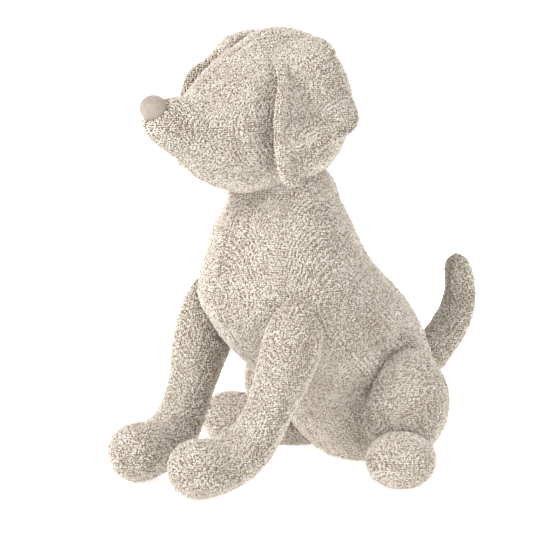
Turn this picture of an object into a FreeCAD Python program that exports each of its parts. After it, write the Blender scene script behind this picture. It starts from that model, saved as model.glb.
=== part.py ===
import FreeCAD, Part
import math
import os

# Sitting plush dog: a stuffed, sewn toy of looped-yarn cloth, about 400 mm tall.
# Millimetres. +Z is up, the dog looks along -Y and +X is its left side. The origin is on the
# floor, on the mid-plane. Each stuffed part is a cloth cover round a fibre filling. Parts that
# swing on their seams are cut clear of the torso over their whole travel.

Vector = FreeCAD.Vector

# ---- Cloth and gaps ------------------------------------------------------------------------
CLOTH = 3.0                       # looped cloth with its backing
FILL_GAP = 0.3                    # between a cover and its filling
SEAM_GAP = 0.4                    # between the edges of two sewn panels
JOINT_GAP = 0.6                   # between parts that move on each other
INNER = -CLOTH                    # growth that gives a cover's inner face
FILLING = -(CLOTH + FILL_GAP)     # growth that gives the filling
FAR = 600.0                       # reach of a cutting block
ROUND_POINTS = 12                 # points that each round section passes through

# ---- Torso: level sections (height, middle along Y, half width, half depth) ------------------
TORSO = [
    (0, 88, 33, 33),
    (6, 86, 46, 44),
    (20, 82, 60, 57),
    (44, 74, 72, 70),
    (72, 62, 79, 80),
    (96, 47, 80, 88),
    (118, 29, 81, 95),
    (140, 13, 80, 96),
    (162, -4, 78, 91),
    (183, -13, 72, 77),
    (204, -17, 66, 67),
    (225, -18, 58, 58),
    (250, -16, 47, 47),
    (276, -18, 43, 43),
]
SEAT_TOP = 12.0                   # the seat panel lies below this height

# ---- Head: upright sections (middle along Y, underside, top, half width) ---------------------
HEAD = [
    (-162, 310, 335, 12),
    (-155, 303, 341, 17),
    (-145, 295, 343, 22),
    (-132, 285.5, 343.5, 27),
    (-115, 271.5, 350, 35),
    (-95, 261, 366, 45),
    (-72, 253, 382, 53),
    (-45, 251, 393.5, 58.5),
    (-18, 253, 395.5, 60),
    (8, 261, 389, 56),
    (28, 281, 371, 43),
    (38, 302, 350, 27),
]
HEAD_TIP = (-167, 322)            # Y and height of the muzzle's end under the nose
HEAD_BACK = (44, 328)             # Y and height of the rearmost point
HEAD_MIDDLE = -61.5
HEAD_HALF_LENGTH = 105.5

# ---- Nose ------------------------------------------------------------------------------------
NOSE = Vector(0, -161, 334)
NOSE_HALF = Vector(11.5, 14, 11.5)
NOSE_CLOTH = 1.2

# ---- Neck: the head nods and turns about this point -------------------------------------------
NECK = Vector(0, -18, 252)
NECK_BALL = 32.0
NECK_DISH_RADIUS = 90.0           # hollow in the top of the torso that the head lies in
NECK_DISH_FRONT = (-65, 245.5)    # Y and height of its bottom line at the front
NECK_DISH_SLOPE = 7.0             # degrees that the bottom line climbs to the rear

# ---- Ears: profile seen from the front (X, Z), outline seen from the side (Y, Z) ---------------
EAR_PROFILE = [(38, 380.5), (52, 378.5), (62, 369), (67, 350), (68.5, 320), (66, 288), (61, 262)]
EAR_OUTLINE = [(-46, 392), (-60, 376), (-71, 360), (-78, 342), (-82, 314), (-77, 286), (-63, 266),
               (-49, 282), (-33, 298), (-8, 307), (3, 317), (1, 335), (-12, 366), (-18, 392)]
EAR_CLOTH = 2.6
EAR_ROOT = Vector(39.5, -30, 386.5)
EAR_TILT = 9.0                    # degrees that the root falls towards the front

# ---- Front leg: centre line (X, Y, Z) with half width and half depth ---------------------------
SHOULDER = Vector(53, -42, 175)
FRONT_LEG = [
    (48, -40, 190, 19, 21),
    (51, -44.5, 166, 21.5, 23),
    (59, -54.5, 132, 23, 24),
    (58, -68, 96, 22, 22.5),
    (54, -84, 62, 20.5, 21.5),
    (50, -103, 38, 22.5, 23.5),
    (46, -128, 28, 24.5, 25),
    (42, -150, 27, 25.5, 26.5),
]
FRONT_LEG_TOP_CAP = 16.0
FRONT_TOE_CAP = 25.0
LEG_SEAM = 51.0                   # X of the seam between a front leg's two panels

# ---- Hind leg: thigh, and the foot that lies on the floor and points outwards -------------------
HIP = Vector(80, 56, 64)
THIGH_HALF = Vector(38, 42, 50)
FOOT = [
    (64, 68, 23, 23, 22),
    (86, 48, 22.5, 25, 22.5),
    (106, 29, 22.5, 29, 23),
    (119, 16.5, 23, 31, 24),
]
FOOT_HEEL_CAP = 20.0
FOOT_TOE_CAP = 24.0
FOOT_ACROSS = Vector(0.643, 0.766, 0)
SOLE_TOP = 14.0                   # the sole panel lies below this height

# ---- Tail: centre line in the mid-plane (Y, Z) with half thickness --------------------------------
TAIL = [
    (144, 74, 17),
    (165, 88, 17),
    (185, 106, 16),
    (197, 128, 14.5),
    (198, 148, 13),
    (194, 163, 11),
]
TAIL_ROOT_CAP = 12.0
TAIL_TIP_CAP = 11.0
TAIL_ROOT = Vector(0, 146, 75)

# ---- Pellet bag inside the seat --------------------------------------------------------------------
BAG = Vector(0, 78, 44)
BAG_HALF = Vector(42, 38, 23)
BAG_CLOTH = 1.2

# ---- Stops over the travel at which a moving part is cut clear, in degrees ---------------------------
FRONT_STOPS = (-20, -14, -8, -2, 0, 4)      # about +X: negative is forward
HIND_STOPS = (-14, 2)                       # about +X: negative lifts the toes
TAIL_STOPS = (-22, -16, -10, -4, 0, 2, 8, 14, 20, 22)
HIND_GAP = 1.4                              # joint gap of the hind legs, whose stops are far apart
SIDEWAYS = Vector(1, 0, 0)
TAIL_AXIS = Vector(0, -0.52, 0.854)


# ---- Building blocks -----------------------------------------------------------------------------------
def unit(vector):
    copy = Vector(vector)
    copy.normalize()
    return copy


def ellipse(centre, across, up, half_across, half_up):
    """Closed smooth wire, an ellipse whose half axes lie along two unit vectors."""
    points = []
    for i in range(ROUND_POINTS):
        turn = 2 * math.pi * i / ROUND_POINTS
        points.append(centre + across * (half_across * math.cos(turn))
                      + up * (half_up * math.sin(turn)))
    curve = Part.BSplineCurve()
    curve.interpolate(points, PeriodicFlag=True)
    return Part.Wire([curve.toShape()])


def stuffed_tube(stations, start_cap, end_cap, side, grow=0.0):
    """Solid along stations of (point, half across, half up), with rounded ends.

    side is roughly the direction that half across is measured in; grow offsets the surface.
    """
    last = len(stations) - 1
    frames = []
    for i, (point, half_across, half_up) in enumerate(stations):
        along = unit(stations[min(i + 1, last)][0] - stations[max(i - 1, 0)][0])
        up = unit(along.cross(side))
        across = unit(up.cross(along))
        frames.append((point, along, across, up, half_across + grow, half_up + grow))
    profiles = [ellipse(p, c, u, a, b) for p, _, c, u, a, b in frames]
    for sign, reach, frame in ((-1, start_cap + grow, frames[0]), (1, end_cap + grow, frames[-1])):
        point, along, across, up, half_across, half_up = frame
        rows = []
        for angle in (28, 52, 72):
            out = sign * reach * math.sin(math.radians(angle))
            shrink = math.cos(math.radians(angle))
            rows.append(ellipse(point + along * out, across, up,
                                half_across * shrink, half_up * shrink))
        rows.append(Part.Vertex(point + along * (sign * reach)))
        profiles = profiles + rows if sign > 0 else rows[::-1] + profiles
    return Part.makeLoft(profiles, True, False)


def ellipsoid(centre, half, grow=0.0):
    level, deep = Vector(1, 0, 0), Vector(0, 1, 0)
    reach = half.z + grow
    profiles = [Part.Vertex(centre - Vector(0, 0, reach))]
    for angle in range(-72, 73, 24):
        height, shrink = math.sin(math.radians(angle)), math.cos(math.radians(angle))
        profiles.append(ellipse(centre + Vector(0, 0, reach * height), level, deep,
                                (half.x + grow) * shrink, (half.y + grow) * shrink))
    profiles.append(Part.Vertex(centre + Vector(0, 0, reach)))
    return Part.makeLoft(profiles, True, False)


def block(low, high):
    """Box between two corners; None leaves that side far away."""
    low = [-FAR if value is None else value for value in low]
    high = [FAR if value is None else value for value in high]
    sides = [b - a for a, b in zip(low, high)]
    return Part.makeBox(sides[0], sides[1], sides[2], Vector(*low))


def on_floor(shape, grow):
    return shape.common(block((None, None, -grow), (None, None, None)))


def cover_and_filling(form):
    """Cloth shell and filling of a stuffed form that can be grown or shrunk."""
    return form(0.0).cut(form(INNER)), form(FILLING)


def parted(shape, axis, place):
    """The two panels of a cover on either side of a seam plane."""
    low, high = [None] * 3, [None] * 3
    low[axis] = place + SEAM_GAP / 2
    high[axis] = place - SEAM_GAP / 2
    above = shape.common(block(low, (None, None, None)))
    below = shape.common(block((None, None, None), high))
    return above, below


def clear_of_torso(shapes, centre, axis, stops, gap=JOINT_GAP):
    """Cut shapes clear of the torso at several stops of their swing about a fixed axis."""
    fixed = torso_form(gap)
    for turn in stops:
        copy = fixed.copy()
        copy.rotate(centre, axis, -turn)
        shapes = [shape.cut(copy) for shape in shapes]
    return shapes


def mirrored(shape):
    return shape.mirror(Vector(0, 0, 0), Vector(1, 0, 0))


# ---- Torso and neck ----------------------------------------------------------------------------------------
def neck_dish():
    y, z = NECK_DISH_FRONT
    slope = math.radians(NECK_DISH_SLOPE)
    along = Vector(0, math.cos(slope), math.sin(slope))
    up = Vector(0, -math.sin(slope), math.cos(slope))
    start = Vector(0, y, z) + up * NECK_DISH_RADIUS - along * 100
    return Part.makeCylinder(NECK_DISH_RADIUS, 300, start, along)


def torso_form(grow):
    profiles = []
    for height, middle, half_width, half_depth in TORSO:
        profiles.append(ellipse(Vector(0, middle, height), Vector(1, 0, 0), Vector(0, 1, 0),
                                half_width + grow, half_depth + grow))
    return on_floor(Part.makeLoft(profiles, True, False), min(grow, 0)).cut(neck_dish())


def make_torso():
    cover, filling = cover_and_filling(torso_form)
    socket = Part.makeSphere(NECK_BALL + JOINT_GAP, NECK)
    cover = cover.cut(socket)
    filling = filling.cut(socket)
    wall, seat = parted(cover, 2, SEAT_TOP)
    left, right = parted(wall, 0, 0)
    bag_space = ellipsoid(BAG, BAG_HALF, FILL_GAP)
    bag = ellipsoid(BAG, BAG_HALF).cut(ellipsoid(BAG, BAG_HALF, -BAG_CLOTH))
    return {
        "torso_panel_left": left,
        "torso_panel_right": right,
        "seat_panel": seat,
        "torso_filling": filling.cut(bag_space),
        "pellet_bag": bag,
        "pellets": ellipsoid(BAG, BAG_HALF, -(BAG_CLOTH + FILL_GAP)),
        "neck_filling": Part.makeSphere(NECK_BALL, NECK),
    }


# ---- Head, nose and ears --------------------------------------------------------------------------------------
def head_form(grow):
    stretch = (HEAD_HALF_LENGTH + grow) / HEAD_HALF_LENGTH

    def place(y):
        return HEAD_MIDDLE + (y - HEAD_MIDDLE) * stretch

    profiles = [Part.Vertex(Vector(0, place(HEAD_TIP[0]), HEAD_TIP[1]))]
    for y, low, high, half_width in HEAD:
        profiles.append(ellipse(Vector(0, place(y), (low + high) / 2), Vector(1, 0, 0),
                                Vector(0, 0, 1), half_width + grow, (high - low) / 2 + grow))
    profiles.append(Part.Vertex(Vector(0, place(HEAD_BACK[0]), HEAD_BACK[1])))
    return Part.makeLoft(profiles, True, False)


def make_head():
    cover, filling = cover_and_filling(head_form)
    for hollow in (Part.makeSphere(NECK_BALL + JOINT_GAP, NECK),
                   ellipsoid(NOSE, NOSE_HALF, FILL_GAP)):
        cover = cover.cut(hollow)
        filling = filling.cut(hollow)
    left, right = parted(cover, 0, 0)
    nose = ellipsoid(NOSE, NOSE_HALF)
    return {
        "head_panel_left": left,
        "head_panel_right": right,
        "head_filling": filling,
        "nose_cover": nose.cut(ellipsoid(NOSE, NOSE_HALF, -NOSE_CLOTH)),
        "nose_filling": ellipsoid(NOSE, NOSE_HALF, -(NOSE_CLOTH + FILL_GAP)),
    }


def ear_layer(near, far):
    """One cloth layer of the left ear, between two offsets from its profile."""
    curve = Part.BSplineCurve()
    curve.interpolate([Vector(x, 0, z) for x, z in EAR_PROFILE])
    edges = []
    for offset in (near, far):
        row = []
        for i in range(15):
            at = curve.FirstParameter + (curve.LastParameter - curve.FirstParameter) * i / 14
            slope = curve.tangent(at)[0]
            row.append(curve.value(at) + Vector(-slope.z, 0, slope.x) * offset)
        side = Part.BSplineCurve()
        side.interpolate(row)
        edges.append((side.toShape(), row[0], row[-1]))
    (first, a, b), (second, c, d) = edges
    wire = Part.Wire(Part.__sortEdges__([first, second, Part.makeLine(a, c),
                                         Part.makeLine(b, d)]))
    tilt = math.radians(EAR_TILT)
    reach = Vector(0, math.cos(tilt), math.sin(tilt)) * 150
    sheet = Part.Face(wire)
    sheet.translate(Vector(0, EAR_ROOT.y, 0) - reach)
    outline = Part.BSplineCurve()
    outline.interpolate([Vector(20, y, z) for y, z in EAR_OUTLINE], PeriodicFlag=True)
    pattern = Part.Face(Part.Wire([outline.toShape()])).extrude(Vector(100, 0, 0))
    return sheet.extrude(reach * 2).common(pattern)


def make_ears():
    lining = ear_layer(0.0, EAR_CLOTH)
    outer = ear_layer(EAR_CLOTH + FILL_GAP, 2 * EAR_CLOTH + FILL_GAP)
    return {
        "left_ear_lining": lining,
        "left_ear_outer": outer,
        "right_ear_lining": mirrored(lining),
        "right_ear_outer": mirrored(outer),
    }


# ---- Front legs ---------------------------------------------------------------------------------------------------
def front_leg_form(grow):
    stations = [(Vector(x, y, z), a, b) for x, y, z, a, b in FRONT_LEG]
    tube = stuffed_tube(stations, FRONT_LEG_TOP_CAP, FRONT_TOE_CAP, SIDEWAYS, grow)
    return on_floor(tube, grow)


def make_front_legs():
    cover, filling = cover_and_filling(front_leg_form)
    cover, filling = clear_of_torso([cover, filling], SHOULDER, SIDEWAYS, FRONT_STOPS)
    outside, inside = parted(cover, 0, LEG_SEAM)
    return both_sides({
        "front_leg_outer_panel": outside,
        "front_leg_inner_panel": inside,
        "front_leg_filling": filling,
    })


# ---- Hind legs -----------------------------------------------------------------------------------------------------
def thigh_form(grow):
    return on_floor(ellipsoid(HIP, THIGH_HALF, grow), grow)


def foot_form(grow):
    stations = [(Vector(x, y, z), a, b) for x, y, z, a, b in FOOT]
    tube = stuffed_tube(stations, FOOT_HEEL_CAP, FOOT_TOE_CAP, FOOT_ACROSS, grow)
    return on_floor(tube, grow)


def make_hind_legs():
    thigh, thigh_filling = cover_and_filling(thigh_form)
    foot, foot_filling = cover_and_filling(foot_form)
    thigh_space = thigh_form(SEAM_GAP)
    foot = foot.cut(thigh_space)
    foot_filling = foot_filling.cut(thigh_space)
    moving = clear_of_torso([thigh, thigh_filling, foot, foot_filling],
                            HIP, SIDEWAYS, HIND_STOPS, HIND_GAP)
    thigh, thigh_filling, foot, foot_filling = moving
    upper, sole = parted(foot, 2, SOLE_TOP)
    return both_sides({
        "thigh_cover": thigh,
        "thigh_filling": thigh_filling,
        "hind_foot_upper": upper,
        "hind_foot_sole": sole,
        "hind_foot_filling": foot_filling,
    })


# ---- Tail ------------------------------------------------------------------------------------------------------------
def tail_form(grow):
    stations = [(Vector(0, y, z), half, half) for y, z, half in TAIL]
    return stuffed_tube(stations, TAIL_ROOT_CAP, TAIL_TIP_CAP, SIDEWAYS, grow)


def make_tail():
    cover, filling = cover_and_filling(tail_form)
    cover, filling = clear_of_torso([cover, filling], TAIL_ROOT, TAIL_AXIS, TAIL_STOPS)
    left, right = parted(cover, 0, 0)
    return {
        "tail_panel_left": left,
        "tail_panel_right": right,
        "tail_filling": filling,
    }


def both_sides(shapes):
    result = {}
    for name, shape in shapes.items():
        result["left_" + name] = shape
        result["right_" + name] = mirrored(shape)
    return result


# ---- Make and write every sub-part --------------------------------------------------------------------------------------
def main():
    nodes = {}
    for make in (make_torso, make_head, make_ears, make_front_legs, make_hind_legs, make_tail):
        nodes.update(make())
    box = Part.makeCompound(list(nodes.values())).optimalBoundingBox(True, False)
    shift = Vector(0, -(box.YMin + box.YMax) / 2, 0)
    os.makedirs("parts", exist_ok=True)
    for name, shape in nodes.items():
        shape = shape.copy()
        shape.translate(shift)
        solids = shape.Solids
        if len(solids) != 1:
            print("NOTE", name, "has", len(solids), "solids", [round(s.Volume) for s in solids])
        if not shape.isValid():
            print("NOTE", name, "is not valid")
        solid = max(solids, key=lambda piece: piece.Volume)
        solid.exportStep(os.path.join("parts", name + ".step"))
    for name, point in (("neck", NECK), ("ear", EAR_ROOT), ("shoulder", SHOULDER),
                        ("hip", HIP), ("tail", TAIL_ROOT)):
        place = point + shift
        print("PLACE", name, round(place.x / 1000, 5), round(place.y / 1000, 5),
              round(place.z / 1000, 5))
    print("SIZE", [round(v, 2) for v in (box.XLength, box.YLength, box.ZLength)])


main()
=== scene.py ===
"""Plush dog in looped cloth, sitting: the visual model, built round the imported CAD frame."""
import bpy
import bmesh
import math
import numpy as np
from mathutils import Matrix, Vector


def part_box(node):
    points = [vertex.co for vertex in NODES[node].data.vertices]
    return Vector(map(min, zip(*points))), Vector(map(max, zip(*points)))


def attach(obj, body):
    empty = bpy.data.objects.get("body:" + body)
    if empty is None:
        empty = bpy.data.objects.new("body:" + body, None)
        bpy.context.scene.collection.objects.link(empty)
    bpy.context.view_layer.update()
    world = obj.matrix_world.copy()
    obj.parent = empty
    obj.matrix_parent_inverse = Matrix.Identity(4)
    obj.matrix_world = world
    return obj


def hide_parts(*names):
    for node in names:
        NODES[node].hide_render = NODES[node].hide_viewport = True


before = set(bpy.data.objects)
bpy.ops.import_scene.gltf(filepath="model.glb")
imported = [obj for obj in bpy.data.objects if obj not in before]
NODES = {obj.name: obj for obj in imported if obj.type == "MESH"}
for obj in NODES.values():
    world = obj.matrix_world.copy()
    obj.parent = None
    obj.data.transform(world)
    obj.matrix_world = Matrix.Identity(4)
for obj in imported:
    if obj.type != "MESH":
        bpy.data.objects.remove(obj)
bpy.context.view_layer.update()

MM = 0.001
SEED = 11
RNG = np.random.default_rng(SEED)

# ---- Skins ---------------------------------------------------------------------------------------
COARSE = 5.0 * MM            # mesh size for the simulated stuffing
FINE = 1.8 * MM              # mesh size of a finished skin, and so the spacing of the loops
WELD = 0.002 * MM            # points of a CAD mesh nearer than this are one point
SKIN_OUT = 1.5 * MM          # skin outside the filling before it swells
EXTRA_OUT = {"tail_skin": 1.8 * MM, "left_hind_foot_skin": 0.8 * MM, "right_hind_foot_skin": 0.8 * MM}
SWELL_CAP = 2.6 * MM         # most that the stuffing pushes the cloth out
PRESSURE = 4.0
PUFF_FRAMES = 20

# ---- Loops of yarn -------------------------------------------------------------------------------
LOOP_HALF = (1.12 * MM, 0.9 * MM, 1.05 * MM)    # half length, half width and half height
LOOP_SIZES = (0.75, 1.25)    # smallest and largest, as a share of that
LOOP_LEAN = 0.55             # how unevenly the loops lean
LOOP_RISE = 0.95 * MM        # middle of a loop above the skin
RISE_VARIES = (-0.25, 0.35)  # mm, lowest and highest change to that
LOOP_WANDER = 0.5 * MM       # scale of how far a loop strays along the skin
WANDER_SHARE = 0.6           # of that, the usual distance
TALL_SHARE = 0.06            # of the loops, standing up out of the rest
TALL_EXTRA = 0.7             # mm, how much further they stand out
LOOP_SIDES = 6
LOOP_WAVE = 0.25             # how far the rim of a loop goes up and down
LOOPS_PER_PIECE = 16000

# ---- Seams and creases, in mm --------------------------------------------------------------------
SEAM_DEPTH = 1.3                  # of the groove where two panels are sewn together
SEAM_WIDTH = 2.2
LEG_SEAM = 51.0                   # X of the raised seam down the back of a front leg
LEG_SEAM_HEIGHT = 1.2
LEG_SEAM_WIDTH = 3.0
LEG_SEAM_FACING = (0.2, 0.6)      # it fades in where the cloth turns to the rear
CREASE_DEPTH = 6.0
CREASE_WIDTH = 11.0
CREASE_ACROSS = (40, 62)          # the crease fades in over this distance from the mid-line
THIGH_CREASE = [(38, 122), (14, 110), (2, 92), (-6, 70), (-6, 48)]   # (Y, Z) in front of the thigh

# ---- Legs, head and torso, in mm -----------------------------------------------------------------
FRONT_LEG_LINE = [(20, -150), (62, -103), (96, -87), (132, -73), (166, -63)]   # (Z, Y) of its middle
FRONT_LEG_BROADER = 0.26          # share by which the upper leg is broader than its filling
LEG_BROAD_FROM = (70, 120)        # heights over which the broader part begins
LEG_BROAD_TO = (168, 200)         # and ends
SHOULDER = (135, 185)             # heights over which the leg becomes the shoulder
SHOULDER_LIFT = 8.0
SHOULDER_INWARDS = 3.5
THIGH_TOP = (66, 112)
THIGH_TOP_INWARDS = 8.0
THIGH_TOP_BACK = 3.0
FACING = (0.1, 0.7)               # fades in where the cloth turns to face a direction
MUZZLE = (150, 178)               # distances in front of the origin, as are BROW_FROM and BROW_TO
MUZZLE_FORWARD = 5.0
BROW_FROM = (45, 75)
BROW_TO = (125, 155)
BROW_LOWER = 5.5
UNDER_EAR = [(-8, 306), (-24, 296), (-46, 286), (-62, 272)]   # (Y, Z) along an ear's loose edge
UNDER_EAR_DEPTH = 3.0
UNDER_EAR_WIDTH = 8.0
UNDER_EAR_ACROSS = (25, 40)
BACK_FROM = (90, 140)
BACK_TO = (225, 262)
BACK_FULLER = 3.0
NECK_HALF = (46, 46, 26)          # half width, half length and half height of the neck

# ---- Ears, lines through (Y, Z) in mm ------------------------------------------------------------
EAR_MESH = 1.4 * MM
EAR_LOOPS = 0.95                                 # size of their loops and mesh, beside the others
EAR_TOP_TUCK = 7.0 * MM                          # how far the front of the root is drawn to the head
EAR_TOP_FRONT = (58 * MM, 76 * MM)               # distances in front of the origin
EAR_TOP_HEIGHT = (350 * MM, 378 * MM)
EAR_INWARDS = {"left": 3.0, "right": 4.0}        # how far an ear lies nearer the head than its curve
EAR_FRONT_INWARDS = {"left": 2.0, "right": 5.5}  # and how much nearer still its front edge lies
EAR_FRONT = -45                                  # where the front part starts
EAR_FRONT_LENGTH = 50
EAR_ROOT = 388                                   # height of the root seam
EAR_ROOT_LENGTH = 25
EAR_FORMS = [
    # a line, how far the cloth stands out along it, and how broadly
    ([(-72, 362), (-70, 346), (-66, 334)], -7.5, 12.0),                             # hollow
    ([(-30, 326), (-56, 320), (-84, 308)], 6.0, 9.0),                               # raised fold
    ([(-14, 317), (-27, 307), (-52, 298), (-68, 282), (-80, 268)], 3.5, 8.0),       # lower edge
    ([(-17, 324), (-20, 309)], 2.0, 17.0),                                          # rear corner
]
EAR_EDGE = [(-66, 392), (-79, 376), (-90, 360), (-97, 342), (-101, 314), (-96, 286), (-82, 266)]
EAR_EDGE_HEIGHT = 1.8                            # of the seamed front edge
EAR_EDGE_GROOVE = 1.6                            # depth of the groove behind it
EAR_GROOVE_BEHIND = 8.0
EAR_EDGE_WIDTH = 4.0

# ---- Nose ----------------------------------------------------------------------------------------
NOSE_MESH = 1.2 * MM
NOSE_SCALE = (0.97, 0.86, 0.97)
NOSE_BACK = 0.6 * MM

# ---- Studio --------------------------------------------------------------------------------------
FLOOR_RADIUS = 14.0
FLOOR_GLOW = 0.62            # the floor gives off some light, so that it stays white far away
WORLD_STRENGTH = 0.46
LIGHTS_AIM = (0, 0, 180)     # mm
LIGHTS = {
    # metres to the right as the camera sees it, towards the camera and up; then size and power
    "key light": (-1.7, 1.1, 1.5, 1.0, 62),
    "fill light": (1.8, 1.6, 0.9, 1.6, 28),
    "back light": (0.4, -1.7, 1.6, 1.4, 24),
}


# ---- Small tools -------------------------------------------------------------------------------
def line_distance(points, ends):
    """Distance of each point (Y, Z) from the chain of straight lines through the ends."""
    ends = np.array(ends, float)
    best = np.full(len(points), 1e9)
    for a, b in zip(ends[:-1], ends[1:]):
        along = np.clip(((points - a) @ (b - a)) / ((b - a) @ (b - a)), 0, 1)
        best = np.minimum(best, np.linalg.norm(points - a - along[:, None] * (b - a), axis=1))
    return best


def hump(distance, width):
    """1 at no distance, and fading away over the width."""
    return np.exp(-(distance / width) ** 2)


def steps_up(values, low, high):
    """0 below low, 1 above high, and smooth between."""
    share = np.clip((values - low) / (high - low), 0, 1)
    return share * share * (3 - 2 * share)


def steps_down(values, low, high):
    """1 below low, 0 above high, and smooth between."""
    return 1 - steps_up(values, low, high)


def mm(x, y, z):
    """A place in metres, from millimetres."""
    return Vector((x, y, z)) * MM


def points_of(mesh):
    flat = np.empty(len(mesh.vertices) * 3, np.float32)
    mesh.vertices.foreach_get("co", flat)
    return flat.reshape(-1, 3).astype(float)


def normals_of(mesh):
    flat = np.empty(len(mesh.vertices) * 3, np.float32)
    mesh.vertex_normals.foreach_get("vector", flat)
    return flat.reshape(-1, 3).astype(float)


def set_points(mesh, points):
    mesh.vertices.foreach_set("co", points.astype(np.float32).ravel())
    mesh.update()


def add_object(name, mesh):
    obj = bpy.data.objects.new(name, mesh)
    bpy.context.scene.collection.objects.link(obj)
    return obj


def bake_modifiers(obj):
    """Replaces the object's mesh by what its modifiers make of it."""
    bpy.context.view_layer.update()
    graph = bpy.context.evaluated_depsgraph_get()
    mesh = bpy.data.meshes.new_from_object(obj.evaluated_get(graph))
    obj.modifiers.clear()
    old = obj.data
    obj.data = mesh
    bpy.data.meshes.remove(old)


def remesh(obj, size):
    """Gives the object an even, closed mesh with faces of this size."""
    step = obj.modifiers.new("even mesh", "REMESH")
    step.mode = "VOXEL"
    step.voxel_size = size
    step.use_smooth_shade = True
    bake_modifiers(obj)


def smooth(obj, times, amount=0.5):
    step = obj.modifiers.new("ease", "SMOOTH")
    step.factor = amount
    step.iterations = times
    bake_modifiers(obj)


def move_out(obj, distance):
    """Moves every point along its normal."""
    set_points(obj.data, points_of(obj.data) + normals_of(obj.data) * distance)


def shells_of(mesh):
    """Number of the connected shell that each point belongs to."""
    edges = np.empty(len(mesh.edges) * 2, np.int32)
    mesh.edges.foreach_get("vertices", edges)
    edges = edges.reshape(-1, 2)
    label = np.arange(len(mesh.vertices))
    while True:
        low = np.minimum(label[edges[:, 0]], label[edges[:, 1]])
        before = label.copy()
        np.minimum.at(label, edges[:, 0], low)
        np.minimum.at(label, edges[:, 1], low)
        label = label[label]
        if (label == before).all():
            return label


def keep_largest_shell(obj):
    label = shells_of(obj.data)
    values, counts = np.unique(label, return_counts=True)
    main = values[counts.argmax()]
    if len(values) == 1:
        return
    work = bmesh.new()
    work.from_mesh(obj.data)
    work.verts.ensure_lookup_table()
    spare = [work.verts[int(i)] for i in np.flatnonzero(label != main)]
    bmesh.ops.delete(work, geom=spare, context="VERTS")
    work.to_mesh(obj.data)
    work.free()


def joined_copy(name, node_names):
    """One mesh made from copies of CAD nodes, with the split points welded."""
    work = bmesh.new()
    for node in node_names:
        work.from_mesh(NODES[node].data)
    bmesh.ops.remove_doubles(work, verts=work.verts, dist=WELD)
    mesh = bpy.data.meshes.new(name)
    work.to_mesh(mesh)
    work.free()
    return add_object(name, mesh)


# ---- Stuffed skins -----------------------------------------------------------------------------
def raw_skin(name, node_names):
    """A coarse skin a little outside the fillings, before it swells."""
    obj = joined_copy(name, node_names)
    remesh(obj, COARSE)
    keep_largest_shell(obj)
    smooth(obj, 2)
    move_out(obj, SKIN_OUT + EXTRA_OUT.get(name, 0.0))
    return obj


def puff(skins):
    """The stuffing pushes every skin out: one short cloth simulation with pressure, no gravity."""
    starts = {}
    for obj in skins:
        starts[obj.name] = points_of(obj.data)
        cloth = obj.modifiers.new("stuffing", "CLOTH")
        cloth.settings.quality = 3
        cloth.settings.use_pressure = True
        cloth.settings.uniform_pressure_force = PRESSURE
        cloth.settings.effector_weights.gravity = 0
        cloth.collision_settings.use_collision = False
        cloth.point_cache.frame_start = 1
        cloth.point_cache.frame_end = PUFF_FRAMES
    for moment in range(1, PUFF_FRAMES + 1):
        bpy.context.scene.frame_set(moment)
    for obj in skins:
        bake_modifiers(obj)
        start = starts[obj.name]
        move = points_of(obj.data) - start
        length = np.linalg.norm(move, axis=1, keepdims=True)
        move *= np.minimum(1.0, SWELL_CAP / np.maximum(length, 1e-9))
        set_points(obj.data, start + move)
    bpy.context.scene.frame_set(1)


def finish_skin(obj):
    """Even fine mesh with soft shading, ready for seams and loops."""
    refine = obj.modifiers.new("rounder", "SUBSURF")
    refine.levels = 1
    bake_modifiers(obj)
    remesh(obj, FINE)
    smooth(obj, 2)


# ---- Loops -------------------------------------------------------------------------------------
def ball_mesh():
    """Points and triangles of a small ball: a wavy ring of points, one above it and one below."""
    turns = np.arange(LOOP_SIDES) * math.pi / (LOOP_SIDES / 2)
    wave = LOOP_WAVE * np.cos(LOOP_SIDES / 2 * turns)
    ring = np.stack([np.cos(turns), np.sin(turns), wave], axis=1)
    points = np.vstack([ring, [[0, 0, 1]], [[0, 0, -1]]])
    above = LOOP_SIDES
    below = LOOP_SIDES + 1
    faces = []
    for corner in range(LOOP_SIDES):
        after = (corner + 1) % LOOP_SIDES
        faces.append((corner, after, above))
        faces.append((after, corner, below))
    return points, np.array(faces)


BALL_POINTS, BALL_FACES = ball_mesh()
BALL_TOPS = (BALL_POINTS[:, 2] + 1) / 2       # 0 at the lowest point of a loop and 1 at its top


def unit_rows(rows):
    return rows / np.maximum(np.linalg.norm(rows, axis=1, keepdims=True), 1e-9)


def along_skin(rows, normals):
    """The part of each row that lies in the plane square to its normal."""
    return rows - normals * (rows * normals).sum(1, keepdims=True)


def triangle_mesh(name, places, faces):
    """A mesh from points and a flat list of triangle corners."""
    mesh = bpy.data.meshes.new(name)
    mesh.vertices.add(len(places))
    mesh.vertices.foreach_set("co", places.astype(np.float32).ravel())
    mesh.loops.add(len(faces))
    mesh.loops.foreach_set("vertex_index", faces.astype(np.int32))
    mesh.polygons.add(len(faces) // 3)
    mesh.polygons.foreach_set("loop_start", np.arange(0, len(faces), 3, dtype=np.int32))
    mesh.update(calc_edges=True)
    mesh.shade_smooth()
    return mesh


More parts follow.
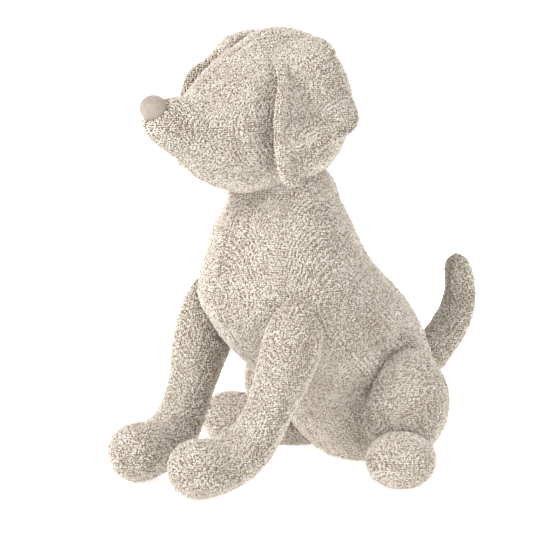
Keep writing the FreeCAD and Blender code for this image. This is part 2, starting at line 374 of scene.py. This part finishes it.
def loops_on(name, skin, body, material, size=1.0):
    """Covers a skin with small yarn loops, one near each of its points and none below the floor."""
    points = points_of(skin.data)
    normals = normals_of(skin.data)
    order = np.argsort(points[:, 2], kind="stable")
    points = points[order]
    normals = normals[order]
    count = len(points)
    along = unit_rows(np.cross(normals, RNG.normal(size=(count, 3))))
    lean = unit_rows(normals + LOOP_LEAN * RNG.normal(size=(count, 3)))
    along = unit_rows(along_skin(along, lean))
    across = np.cross(lean, along)
    scale = RNG.uniform(*LOOP_SIZES, (count, 3)) * np.array(LOOP_HALF) * size
    tall = RNG.random(count) < TALL_SHARE
    rise = (LOOP_RISE + RNG.uniform(*RISE_VARIES, count) * MM + tall * TALL_EXTRA * MM) * size
    wander = RNG.normal(size=(count, 3)) * LOOP_WANDER * size * WANDER_SHARE
    middle = points + along_skin(wander, normals) + normals * rise[:, None]
    axes = (along * scale[:, 0:1], across * scale[:, 1:2], lean * scale[:, 2:3])
    for number, start in enumerate(range(0, count, LOOPS_PER_PIECE), 1):
        part = slice(start, min(count, start + LOOPS_PER_PIECE))
        many = part.stop - part.start
        places = middle[part, None, :]
        for column, axis in enumerate(axes):
            places = places + BALL_POINTS[None, :, column:column + 1] * axis[part, None, :]
        places = places.reshape(-1, 3)
        places[:, 2] = np.maximum(places[:, 2], 0.0)
        faces = (BALL_FACES[None] + np.arange(many)[:, None, None] * len(BALL_POINTS)).reshape(-1)
        mesh = triangle_mesh(name, places, faces)
        # height within each loop, which the yarn material turns into painted shade at its root
        top = mesh.attributes.new("loop_top", "FLOAT", "POINT")
        top.data.foreach_set("value", np.tile(BALL_TOPS, many).astype(np.float32))
        mesh.materials.append(material)
        obj = add_object(f"{name}_loops_{number}", mesh)
        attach(obj, body)


# ---- Materials ---------------------------------------------------------------------------------
def new_material(name):
    material = bpy.data.materials.new(name)
    material.use_nodes = True
    tree = material.node_tree
    return material, tree, tree.nodes["Principled BSDF"]


def ramp(tree, source, stops):
    """Colours that follow the source, from (place, colour) stops."""
    node = tree.nodes.new("ShaderNodeValToRGB")
    while len(node.color_ramp.elements) < len(stops):
        node.color_ramp.elements.new(0.5)
    for element, (place, colour) in zip(node.color_ramp.elements, stops):
        element.position = place
        element.color = (*colour, 1.0)
    tree.links.new(source, node.inputs["Fac"])
    return node.outputs["Color"]


def noise(tree, scale, detail=2.0):
    place = tree.nodes.new("ShaderNodeTexCoord")
    node = tree.nodes.new("ShaderNodeTexNoise")
    node.inputs["Scale"].default_value = scale
    node.inputs["Detail"].default_value = detail
    tree.links.new(place.outputs["Object"], node.inputs["Vector"])
    return node.outputs["Fac"]


def bump(tree, shader, height, strength, distance):
    node = tree.nodes.new("ShaderNodeBump")
    node.inputs["Strength"].default_value = strength
    node.inputs["Distance"].default_value = distance
    tree.links.new(height, node.inputs["Height"])
    tree.links.new(node.outputs["Normal"], shader.inputs["Normal"])


def multiplied(tree, share, first, second):
    """The first colour, darkened by a share of the second."""
    node = tree.nodes.new("ShaderNodeMix")
    node.data_type = "RGBA"
    node.blend_type = "MULTIPLY"
    node.inputs[0].default_value = share
    tree.links.new(first, node.inputs[6])
    tree.links.new(second, node.inputs[7])
    return node.outputs[2]


def set_values(shader, values):
    for socket, value in values.items():
        shader.inputs[socket].default_value = value


WHITE = (1.0, 1.0, 1.0)
PALE = (0.89, 0.855, 0.795)
CREAM = (0.83, 0.78, 0.70)
SAND = (0.70, 0.63, 0.535)
TAN = (0.565, 0.475, 0.375)
# ROOT_SHADE and LOW_SHADE: painted shade towards the root of each loop and part way up it
ROOT_SHADE = (0.52, 0.46, 0.385)
# the ground cloth's own colour, darkened further as painted shade in the gaps between the loops
GROUND_WITH_GAP_SHADE = (0.33, 0.265, 0.195)
LOW_SHADE = (0.80, 0.78, 0.76)
CLOUD_SHADE = (0.80, 0.78, 0.75)
SUEDE_DARK = (0.30, 0.255, 0.21)
SUEDE_LIGHT = (0.36, 0.31, 0.26)
FLOOR_DARK = (0.93, 0.93, 0.93)
FLOOR_LIGHT = (0.95, 0.95, 0.95)


def yarn_material():
    """Each loop has its own tone and is darker at its root as painted shade, with large soft clouds over
    the whole cloth.
    """
    material, tree, shader = new_material("looped yarn")
    island = tree.nodes.new("ShaderNodeNewGeometry").outputs["Random Per Island"]
    tone = ramp(tree, island, [(0.0, TAN), (0.10, TAN), (0.26, SAND), (0.46, CREAM), (1.0, PALE)])
    cloud = ramp(tree, noise(tree, scale=55.0), [(0.35, CLOUD_SHADE), (0.65, WHITE)])
    # painted shade: each loop darker towards its root, where it would lie in its own shadow
    top = tree.nodes.new("ShaderNodeAttribute")
    top.attribute_name = "loop_top"
    root = ramp(tree, top.outputs["Fac"], [(0.2, ROOT_SHADE), (0.55, LOW_SHADE), (0.9, WHITE)])
    tone = multiplied(tree, 1.0, tone, root)
    tree.links.new(multiplied(tree, 0.7, tone, cloud), shader.inputs["Base Color"])
    set_values(shader, {
        "Roughness": 0.92,
        "Specular IOR Level": 0.2,
        "Sheen Weight": 0.35,
        "Sheen Roughness": 0.5,
        "Sheen Tint": (1.0, 0.97, 0.92, 1.0),
    })
    bump(tree, shader, noise(tree, scale=1400.0, detail=3.0), strength=0.6, distance=0.4 * MM)
    return material


def ground_material():
    """The woven cloth that shows between the loops, its own colour darkened further as painted shade in the
    gaps.
    """
    material, tree, shader = new_material("cloth ground")
    # own colour of the cloth, kept dark as painted shade between the loops
    tone = ramp(tree, noise(tree, scale=420.0, detail=3.0), [(0.3, GROUND_WITH_GAP_SHADE), (0.8, TAN)])
    tree.links.new(tone, shader.inputs["Base Color"])
    set_values(shader, {"Roughness": 1.0, "Specular IOR Level": 0.1})
    bump(tree, shader, noise(tree, scale=600.0, detail=3.0), strength=0.8, distance=0.8 * MM)
    return material


def suede_material():
    material, tree, shader = new_material("nose suede")
    tone = ramp(tree, noise(tree, scale=260.0, detail=4.0), [(0.3, SUEDE_DARK), (0.7, SUEDE_LIGHT)])
    tree.links.new(tone, shader.inputs["Base Color"])
    set_values(shader, {"Roughness": 0.75, "Sheen Weight": 0.2, "Sheen Roughness": 0.4})
    bump(tree, shader, noise(tree, scale=1800.0, detail=4.0), strength=0.35, distance=0.2 * MM)
    return material


def floor_material():
    material, tree, shader = new_material("pale floor")
    tone = ramp(tree, noise(tree, scale=3.0), [(0.3, FLOOR_DARK), (0.7, FLOOR_LIGHT)])
    tree.links.new(tone, shader.inputs["Base Color"])
    set_values(shader, {
        "Roughness": 0.9,
        "Emission Color": (*WHITE, 1.0),
        "Emission Strength": FLOOR_GLOW,
    })
    return material


YARN = yarn_material()
CLOTH_GROUND = ground_material()
SUEDE = suede_material()


# ---- Camera, floor and light ---------------------------------------------------------------------
CAMERA_TURN = math.radians(50)     # from straight in front of the dog towards its left side
CAMERA_RISE = math.radians(9.5)
CAMERA_AWAY = 2.7
CAMERA_LENS = 196.8
LOOK_AT = mm(-17, -28, 170.5)

TOWARDS_CAMERA = Vector((math.sin(CAMERA_TURN) * math.cos(CAMERA_RISE),
                         -math.cos(CAMERA_TURN) * math.cos(CAMERA_RISE),
                         math.sin(CAMERA_RISE)))
TO_THE_RIGHT = Vector((math.cos(CAMERA_TURN), math.sin(CAMERA_TURN), 0))


def make_camera():
    data = bpy.data.cameras.new("camera")
    data.lens = CAMERA_LENS
    data.sensor_width = 36
    camera = add_object("camera", data)
    camera.location = LOOK_AT + TOWARDS_CAMERA * CAMERA_AWAY
    camera.rotation_mode = "QUATERNION"
    camera.rotation_quaternion = (-TOWARDS_CAMERA).to_track_quat("-Z", "Y")
    bpy.context.scene.camera = camera


def area_light(name, place, size, power):
    """A square light aimed at the middle of the dog."""
    data = bpy.data.lights.new(name, "AREA")
    data.size = size
    data.energy = power
    light = add_object(name, data)
    light.location = place
    light.rotation_mode = "QUATERNION"
    light.rotation_quaternion = (place - mm(*LIGHTS_AIM)).to_track_quat("Z", "Y")


def make_stage():
    mesh = bpy.data.meshes.new("floor")
    work = bmesh.new()
    bmesh.ops.create_circle(work, cap_ends=True, segments=96, radius=FLOOR_RADIUS)
    work.to_mesh(mesh)
    work.free()
    mesh.materials.append(floor_material())
    add_object("floor", mesh)
    world = bpy.data.worlds.new("studio")
    world.use_nodes = True
    set_values(world.node_tree.nodes["Background"], {"Color": (*WHITE, 1.0), "Strength": WORLD_STRENGTH})
    bpy.context.scene.world = world
    bpy.context.scene.view_settings.view_transform = "Standard"
    for name, (right, towards, up, size, power) in LIGHTS.items():
        place = TO_THE_RIGHT * right + TOWARDS_CAMERA * towards + Vector((0, 0, up))
        area_light(name, place, size, power)


make_camera()
make_stage()


# ---- The dog's parts -------------------------------------------------------------------------------
SIDES = ("left", "right")

# name: the body it rides on, the nodes that give its shape, and the nodes it stands for
STUFFED = {
    "torso_skin": ("torso", ["torso_filling"],
                   ["torso_panel_left", "torso_panel_right", "seat_panel", "torso_filling",
                    "pellet_bag", "pellets"]),
    "head_skin": ("head", ["head_filling", "neck_filling"],
                  ["head_panel_left", "head_panel_right", "head_filling"]),
    "tail_skin": ("tail", ["tail_filling"], ["tail_panel_left", "tail_panel_right", "tail_filling"]),
}
for side in SIDES:
    STUFFED[f"{side}_front_leg_skin"] = (
        f"{side}_front_leg", [f"{side}_front_leg_filling"],
        [f"{side}_front_leg_outer_panel", f"{side}_front_leg_inner_panel", f"{side}_front_leg_filling"])
    STUFFED[f"{side}_thigh_skin"] = (
        f"{side}_hind_leg", [f"{side}_thigh_filling"],
        [f"{side}_thigh_cover", f"{side}_thigh_filling"])
    STUFFED[f"{side}_hind_foot_skin"] = (
        f"{side}_hind_leg", [f"{side}_hind_foot_filling"],
        [f"{side}_hind_foot_upper", f"{side}_hind_foot_sole", f"{side}_hind_foot_filling"])


def widen_front_leg(obj):
    """The upper leg is flatter and broader than its filling, from front to back, with a raised seam."""
    places = points_of(obj.data) / MM
    normals = normals_of(obj.data)
    seam = hump(np.abs(places[:, 0]) - LEG_SEAM, LEG_SEAM_WIDTH) * steps_up(normals[:, 1], *LEG_SEAM_FACING)
    places += normals * (LEG_SEAM_HEIGHT * seam)[:, None]
    heights, along = np.array(FRONT_LEG_LINE, float).T
    middle = np.interp(places[:, 2], heights, along)
    share = steps_up(places[:, 2], *LEG_BROAD_FROM) * steps_down(places[:, 2], *LEG_BROAD_TO)
    places[:, 1] += (places[:, 1] - middle) * FRONT_LEG_BROADER * share
    top = steps_up(places[:, 2], *SHOULDER)
    places[:, 0] -= np.sign(places[:, 0]) * SHOULDER_INWARDS * top
    places[:, 2] += SHOULDER_LIFT * top
    set_points(obj.data, places * MM)


def shape_thigh(obj):
    """The top of the thigh runs into the flank."""
    places = points_of(obj.data) / MM
    share = steps_up(places[:, 2], *THIGH_TOP)
    places[:, 0] -= np.sign(places[:, 0]) * THIGH_TOP_INWARDS * share
    places[:, 1] += THIGH_TOP_BACK * share
    set_points(obj.data, places * MM)


def shape_head(obj):
    """A dent below each ear's loose edge, a longer muzzle, a lower brow and a seam on the mid-line."""
    places = points_of(obj.data) / MM
    normals = normals_of(obj.data)
    under_ear = hump(line_distance(places[:, 1:], UNDER_EAR), UNDER_EAR_WIDTH)
    depth = UNDER_EAR_DEPTH * under_ear * steps_up(np.abs(places[:, 0]), *UNDER_EAR_ACROSS)
    places -= normals * depth[:, None]
    places[:, 1] -= MUZZLE_FORWARD * steps_up(-places[:, 1], *MUZZLE)
    brow = steps_up(normals[:, 2], *FACING) * steps_up(-places[:, 1], *BROW_FROM)
    brow *= steps_down(-places[:, 1], *BROW_TO)
    places[:, 2] -= BROW_LOWER * brow
    places -= normals * (SEAM_DEPTH * hump(places[:, 0], SEAM_WIDTH))[:, None]
    set_points(obj.data, places * MM)


def shape_torso(obj):
    """A fuller back, a deep crease in front of each thigh and a seam on the mid-line."""
    places = points_of(obj.data) / MM
    normals = normals_of(obj.data)
    rear = steps_up(normals[:, 1], *FACING) * steps_up(places[:, 2], *BACK_FROM)
    rear *= steps_down(places[:, 2], *BACK_TO)
    places[:, 1] += BACK_FULLER * rear
    crease = hump(line_distance(places[:, 1:], THIGH_CREASE), CREASE_WIDTH)
    depth = CREASE_DEPTH * crease * steps_up(np.abs(places[:, 0]), *CREASE_ACROSS)
    depth += SEAM_DEPTH * hump(places[:, 0], SEAM_WIDTH)
    places -= normals * depth[:, None]
    set_points(obj.data, places * MM)


def shape_skin(name, obj):
    if "front_leg" in name:
        widen_front_leg(obj)
    elif "thigh" in name:
        shape_thigh(obj)
    elif name == "head_skin":
        shape_head(obj)
    elif name == "torso_skin":
        shape_torso(obj)


def make_stuffed_parts():
    skins = {name: raw_skin(name, sources) for name, (_, sources, _) in STUFFED.items()}
    puff(list(skins.values()))
    for name, (body, _, stands_for) in STUFFED.items():
        obj = skins[name]
        finish_skin(obj)
        shape_skin(name, obj)
        obj.data.materials.append(CLOTH_GROUND)
        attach(obj, body)
        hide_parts(*stands_for)
        loops_on(name.replace("_skin", ""), obj, body, YARN)


def make_neck():
    """A flattened ball of looped cloth that fills the gap between the head and the torso."""
    low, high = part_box("neck_filling")
    middle = (low + high) / 2
    mesh = bpy.data.meshes.new("neck_collar")
    work = bmesh.new()
    bmesh.ops.create_icosphere(work, subdivisions=5, radius=1.0)
    for point in work.verts:
        point.co = Vector([place * half * MM for place, half in zip(point.co, NECK_HALF)])
    bmesh.ops.translate(work, verts=work.verts, vec=middle)
    work.to_mesh(mesh)
    work.free()
    obj = add_object("neck_collar", mesh)
    remesh(obj, FINE)
    obj.data.materials.append(CLOTH_GROUND)
    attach(obj, "neck")
    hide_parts("neck_filling")
    loops_on("neck", obj, "neck", YARN)


def ear_relief(points, side):
    """How far the ear's cloth stands out from its plain curve, in mm, at (Y, Z) in mm."""
    front = np.clip((EAR_FRONT - points[:, 0]) / EAR_FRONT_LENGTH, 0, 1)
    hanging = np.clip((EAR_ROOT - points[:, 1]) / EAR_ROOT_LENGTH, 0, 1)
    relief = -(EAR_INWARDS[side] + EAR_FRONT_INWARDS[side] * front) * hanging
    for line, height, width in EAR_FORMS:
        relief = relief + height * hump(line_distance(points, line), width)
    edge = line_distance(points, EAR_EDGE)
    groove = edge - EAR_GROOVE_BEHIND
    seam = EAR_EDGE_HEIGHT * hump(edge, EAR_EDGE_WIDTH) - EAR_EDGE_GROOVE * hump(groove, EAR_EDGE_WIDTH)
    return relief + seam


def make_ears():
    for side in SIDES:
        nodes = [f"{side}_ear_outer", f"{side}_ear_lining"]
        obj = joined_copy(f"{side}_ear_cloth", nodes)
        remesh(obj, EAR_MESH)
        keep_largest_shell(obj)
        smooth(obj, 2)
        places = points_of(obj.data)
        outwards = np.sign(places[:, 0].mean())
        places[:, 0] += outwards * ear_relief(places[:, 1:] / MM, side) * MM
        front_top = steps_up(-places[:, 1], *EAR_TOP_FRONT) * steps_up(places[:, 2], *EAR_TOP_HEIGHT)
        places[:, 0] -= outwards * EAR_TOP_TUCK * front_top
        places[:, 2] -= EAR_TOP_TUCK * front_top
        set_points(obj.data, places)
        remesh(obj, FINE * EAR_LOOPS)
        smooth(obj, 1)
        obj.data.materials.append(CLOTH_GROUND)
        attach(obj, f"{side}_ear")
        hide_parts(*nodes)
        loops_on(f"{side}_ear", obj, f"{side}_ear", YARN, size=EAR_LOOPS)


def make_nose():
    obj = joined_copy("nose_skin", ["nose_cover"])
    remesh(obj, NOSE_MESH)
    keep_largest_shell(obj)
    smooth(obj, 4)
    places = points_of(obj.data)
    middle = places.mean(axis=0)
    places = middle + (places - middle) * np.array(NOSE_SCALE) + np.array((0, NOSE_BACK, 0))
    set_points(obj.data, places)
    obj.data.materials.append(SUEDE)
    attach(obj, "head")
    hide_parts("nose_cover", "nose_filling")


make_stuffed_parts()
make_neck()
make_ears()
make_nose()
